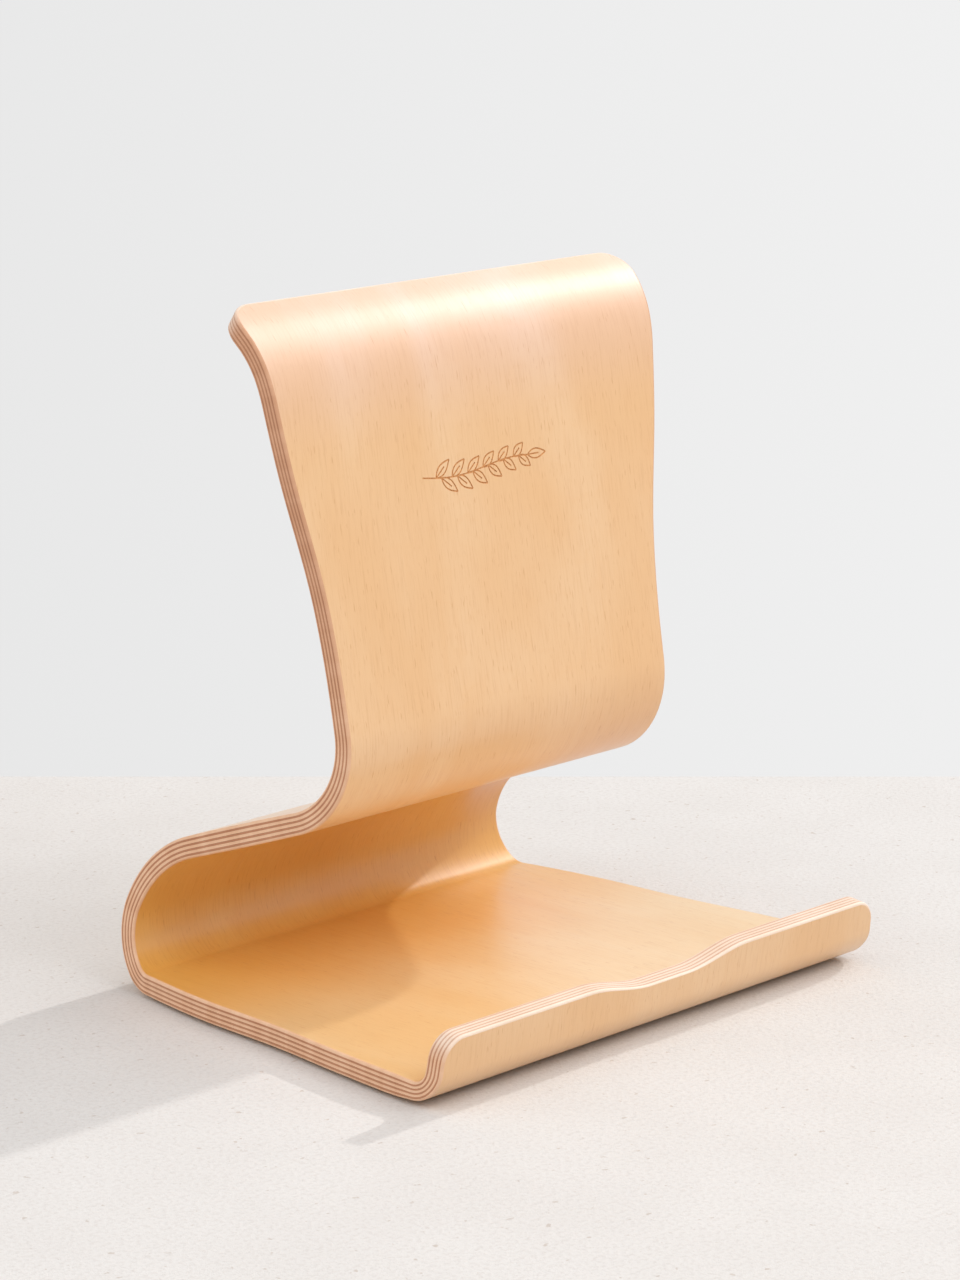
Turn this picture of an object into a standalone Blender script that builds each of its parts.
"""Phone stand pressed from one stack of veneers, standing on four thin pads.

Metres, +Z up, front edge towards -Y. The origin is on the table, under the middle of
the stand. The stand is one strip of nine veneers. Seen from the side it runs down the
front lip, back along the base, up round the rear bend, forward along the arm, up round
the nose, up the backrest, and back over the top roll. Every veneer is cut to the same
outline as a flat blank and then pressed to that line, one veneer above the next.
"""

import math

import bmesh
import bpy
import numpy as np

# The stack of veneers
VENEER_COUNT = 9
LONG_VENEER = 0.00062
CROSS_VENEER = 0.00042
GLUE_LINE = 0.00005

# The press line, through the middle of the stack. Bends turn by angles in degrees.
LIP_LENGTH = 0.0076
LIP_LEAN = 8.0
FRONT_BEND_RADIUS = 0.0061
BASE_LENGTH = 0.0893
REAR_LOW_RADIUS = 0.0069
REAR_LOW_TURN = 45.0
REAR_MIDDLE_RADIUS = 0.0135
REAR_MIDDLE_TURN = 65.0
REAR_HIGH_RADIUS = 0.0250
REAR_HIGH_TURN = 51.0
ARM_LENGTH = 0.0320
NOSE_RADIUS = 0.0191
NOSE_TURN = -80.6
BACKREST_LENGTH = 0.0698
TOP_EASE_RADIUS = 0.0342
TOP_EASE_TURN = -8.9
TOP_ROLL_RADIUS = 0.0206
TOP_ROLL_TURN = -37.0
TOP_END_LENGTH = 0.0038

# The outline of the blank: half its width at places along the press line
OUTLINE_PLACES = (0.0, 0.0163, 0.0386, 0.0609, 0.0832, 0.1292, 0.1805, 0.2074, 0.2353, 0.2632, 0.2997)
OUTLINE_HALF_WIDTHS = (0.0680, 0.0688, 0.0671, 0.0646, 0.0634, 0.0564, 0.0508, 0.0495, 0.0510, 0.0561, 0.0605)
LIP_CORNER_RADIUS = 0.0053
TOP_CORNER_RADIUS = 0.0072
DIP_DEPTH = 0.0028
DIP_FLAT_HALF_WIDTH = 0.0060
DIP_RAMP = 0.0190

# How far the press squeezes the stack: its thickness there as a share of the full one
SQUEEZE_PLACES = (0.0, 0.0076, 0.0120, 0.0234, 0.1011, 0.1187, 0.1645, 0.1940, 0.2214, 0.2997)
SQUEEZE_SHARES = (0.93, 0.93, 0.80, 1.00, 1.00, 0.89, 1.06, 0.96, 0.92, 0.92)

# The pads under the base
PAD_RADIUS = 0.0050
PAD_THICKNESS = 0.0007
PAD_GLUE_GAP = 0.0001
PAD_SIDE_INSET = 0.0110
PAD_FRONT_INSET = 0.0100
PAD_REAR_INSET = 0.0080
PAD_SIDES = 32

# How finely the press line and the blank are divided
DEGREES_PER_FACET = 5.0
LONGEST_FACET = 0.0100
CORNER_FACETS = 5
BLANK_COLUMNS = 28
PLACE_DECIMALS = 6
FLAT_WITHIN = math.radians(0.05)
SHARP_ANGLE = math.radians(30.0)

# Colours, each with its roughness
BIRCH = (0.82, 0.56, 0.33)
BIRCH_ROUGHNESS = 0.42
BIRCH_CROSS = (0.52, 0.29, 0.15)
CROSS_ROUGHNESS = 0.6
PAD_BLACK = (0.03, 0.03, 0.03)
PAD_ROUGHNESS = 0.9

CROSS_COUNT = VENEER_COUNT // 2
STACK = (VENEER_COUNT - CROSS_COUNT) * LONG_VENEER + CROSS_COUNT * CROSS_VENEER


def straight(length):
    """One run of the press line: its length and the angle it turns by."""
    return length, 0.0


def bend(radius, turn_degrees):
    turn = math.radians(turn_degrees)
    return radius * abs(turn), turn


START_HEADING = math.radians(-90.0 + LIP_LEAN)
RUNS = (
    straight(LIP_LENGTH),
    bend(FRONT_BEND_RADIUS, 90.0 - LIP_LEAN),
    straight(BASE_LENGTH),
    bend(REAR_LOW_RADIUS, REAR_LOW_TURN),
    bend(REAR_MIDDLE_RADIUS, REAR_MIDDLE_TURN),
    bend(REAR_HIGH_RADIUS, REAR_HIGH_TURN),
    straight(ARM_LENGTH),
    bend(NOSE_RADIUS, NOSE_TURN),
    straight(BACKREST_LENGTH),
    bend(TOP_EASE_RADIUS, TOP_EASE_TURN),
    bend(TOP_ROLL_RADIUS, TOP_ROLL_TURN),
    straight(TOP_END_LENGTH),
)
LINE_LENGTH = sum(length for length, _ in RUNS)
BASE_START = sum(length for length, _ in RUNS[:2])
BASE_END = BASE_START + BASE_LENGTH


def press_line(place):
    """(y, z, heading) at a distance along the press line, measured from the lip's top edge.

    Heading is the direction of travel, in radians from +Y towards +Z.
    """
    y, z, heading = 0.0, 0.0, START_HEADING
    for length, turn in RUNS:
        travelled = min(place, length)
        if turn:
            radius = length / turn
            after = heading + turn * travelled / length
            y += radius * (math.sin(after) - math.sin(heading))
            z -= radius * (math.cos(after) - math.cos(heading))
            heading = after
        else:
            y += travelled * math.cos(heading)
            z += travelled * math.sin(heading)
        place -= travelled
        if place <= 0.0:
            break
    return y, z, heading


def smooth_curve(places, values):
    """A function through the given values with no kinks, by cubic Hermite spans."""
    places = np.array(places)
    values = np.array(values)
    slopes = np.gradient(values, places)

    def at(place):
        i = int(np.clip(np.searchsorted(places, place) - 1, 0, len(places) - 2))
        span = places[i + 1] - places[i]
        t = min(max((place - places[i]) / span, 0.0), 1.0)
        rise = values[i] * (1 + 2 * t) * (1 - t) ** 2 + values[i + 1] * t * t * (3 - 2 * t)
        return float(rise + span * (slopes[i] * t * (1 - t) ** 2 - slopes[i + 1] * t * t * (1 - t)))

    return at


outline = smooth_curve(OUTLINE_PLACES, OUTLINE_HALF_WIDTHS)


def ease(t):
    """0 to 1 with level ends."""
    t = min(max(t, 0.0), 1.0)
    return t * t * (3.0 - 2.0 * t)


def squeeze(place):
    """The share of the stack's full thickness that the press leaves at a place."""
    share = SQUEEZE_SHARES[0]
    for i in range(1, len(SQUEEZE_PLACES)):
        start, end = SQUEEZE_PLACES[i - 1 : i + 1]
        share += (SQUEEZE_SHARES[i] - SQUEEZE_SHARES[i - 1]) * ease((place - start) / (end - start))
    return share


def half_width(place):
    """Half the blank's width, with its four corners rounded."""
    width = outline(place)
    for radius, from_end in ((LIP_CORNER_RADIUS, place), (TOP_CORNER_RADIUS, LINE_LENGTH - place)):
        short = max(radius - from_end, 0.0)
        width -= radius - math.sqrt(max(radius * radius - short * short, 0.0))
    return width


def lip_dip(x):
    """How far the lip's top edge is cut down at x: a flat bottom with a smooth ramp on each side."""
    return DIP_DEPTH * (1.0 - ease((abs(x) - DIP_FLAT_HALF_WIDTH) / DIP_RAMP))


def stations():
    """The places along the press line where the blank is divided."""
    places = []
    start = 0.0
    for length, turn in RUNS:
        facets_to_turn = abs(math.degrees(turn)) / DEGREES_PER_FACET
        count = math.ceil(max(round(facets_to_turn, PLACE_DECIMALS), length / LONGEST_FACET))
        places += [start + length * i / count for i in range(count)]
        start += length
    for i in range(1, CORNER_FACETS + 1):
        angle = math.radians(90.0 * i / CORNER_FACETS)
        places.append(LIP_CORNER_RADIUS * (1.0 - math.cos(angle)))
        places.append(LINE_LENGTH - TOP_CORNER_RADIUS * (1.0 - math.cos(angle)))
    places.append(LINE_LENGTH)
    return sorted(set(round(place, PLACE_DECIMALS) for place in places))


def pressed(across, place, depth, shift):
    """World point of the blank's point: across is -1 to 1, depth is measured from the stack's middle."""
    x = across * half_width(place)
    if place < LIP_LENGTH:
        place += lip_dip(x) * (1.0 - place / LIP_LENGTH)
    y, z, heading = press_line(place)
    offset = depth * squeeze(place)
    return x, y - offset * math.sin(heading) + shift[0], z + offset * math.cos(heading) + shift[1]


def material(name, colour, roughness):
    made = bpy.data.materials.new(name)
    made.use_nodes = True
    shader = made.node_tree.nodes["Principled BSDF"]
    shader.inputs["Base Color"].default_value = (*colour, 1.0)
    shader.inputs["Roughness"].default_value = roughness
    shader.inputs["Metallic"].default_value = 0.0
    return made


def collection(name):
    made = bpy.data.collections.new(name)
    bpy.context.scene.collection.children.link(made)
    return made


def veneer(name, low, high, look, parts, shift):
    """One veneer: a flat grid blank given its thickness, then pressed to the stand's line.

    low and high are the depths of its two faces, from the middle of the stack.
    """
    places = stations()
    shape = bmesh.new()
    bmesh.ops.create_grid(shape, x_segments=BLANK_COLUMNS, y_segments=len(places) - 1, size=1.0)
    under = bmesh.ops.duplicate(shape, geom=shape.faces[:])
    lower = [item for item in under["geom"] if isinstance(item, bmesh.types.BMVert)]
    for vert in shape.verts:
        vert.co.z = high
    for vert in lower:
        vert.co.z = low
    bmesh.ops.reverse_faces(shape, faces=[f for f in under["geom"] if isinstance(f, bmesh.types.BMFace)])
    rims = [edge for edge in shape.edges if edge.is_boundary]
    bmesh.ops.bridge_loops(shape, edges=rims)
    rows = len(places) - 1
    for vert in shape.verts:
        row = round((vert.co.y + 1.0) / 2.0 * rows)
        vert.co = pressed(vert.co.x, places[row], vert.co.z, shift)
    bmesh.ops.recalc_face_normals(shape, faces=shape.faces[:])
    mesh = bpy.data.meshes.new(name)
    shape.to_mesh(mesh)
    shape.free()
    obj = bpy.data.objects.new(name, mesh)
    parts.objects.link(obj)
    merge = obj.modifiers.new("Merge flat facets", "DECIMATE")
    merge.decimate_type = "DISSOLVE"
    merge.angle_limit = FLAT_WITHIN
    mesh.materials.append(look)
    mesh.shade_smooth()
    mesh.set_sharp_from_angle(angle=SHARP_ANGLE)
    return obj


def pad(name, x, y, look, parts):
    """A round pad with its lower face on the table."""
    bpy.ops.mesh.primitive_cylinder_add(
        vertices=PAD_SIDES,
        radius=PAD_RADIUS,
        depth=PAD_THICKNESS,
        location=(x, y, PAD_THICKNESS / 2.0),
    )
    obj = bpy.context.object
    obj.name = name
    obj.data.name = name
    for holder in list(obj.users_collection):
        holder.objects.unlink(obj)
    parts.objects.link(obj)
    obj.data.materials.append(look)
    obj.data.shade_smooth()
    obj.data.set_sharp_from_angle(angle=SHARP_ANGLE)
    return obj


def stand_shift():
    """What moves the press line so that the stand is centred over the origin on its pads."""
    ys = []
    for place in stations():
        for depth in (-STACK / 2.0, STACK / 2.0):
            ys.append(pressed(1.0, place, depth, (0.0, 0.0))[1])
    under_base = press_line(BASE_START)[1] - STACK / 2.0
    return -(min(ys) + max(ys)) / 2.0, PAD_THICKNESS + PAD_GLUE_GAP - under_base


def main():
    for obj in list(bpy.data.objects):
        bpy.data.objects.remove(obj, do_unlink=True)
    parts = collection("phone_stand")
    face = material("face birch", BIRCH, BIRCH_ROUGHNESS)
    cross = material("cross birch", BIRCH_CROSS, CROSS_ROUGHNESS)
    rubber = material("pad rubber", PAD_BLACK, PAD_ROUGHNESS)
    shift = stand_shift()

    names = ["back_veneer"]
    for i in range(1, VENEER_COUNT - 1):
        pair = (i + 1) // 2
        names.append(f"cross_ply_{pair}" if i % 2 else f"long_ply_{pair}")
    names.append("face_veneer")
    depth = -STACK / 2.0
    for i, name in enumerate(names):
        low = depth + (GLUE_LINE / 2.0 if i > 0 else 0.0)
        depth += CROSS_VENEER if i % 2 else LONG_VENEER
        high = depth - (GLUE_LINE / 2.0 if i < VENEER_COUNT - 1 else 0.0)
        veneer(name, low, high, cross if i % 2 else face, parts, shift)

    for row, place in (("front", BASE_START + PAD_FRONT_INSET), ("rear", BASE_END - PAD_REAR_INSET)):
        for side, sign in (("left", -1.0), ("right", 1.0)):
            x = sign * (outline(place) - PAD_SIDE_INSET)
            pad(f"pad_{row}_{side}", x, press_line(place)[0] + shift[0], rubber, parts)


main()
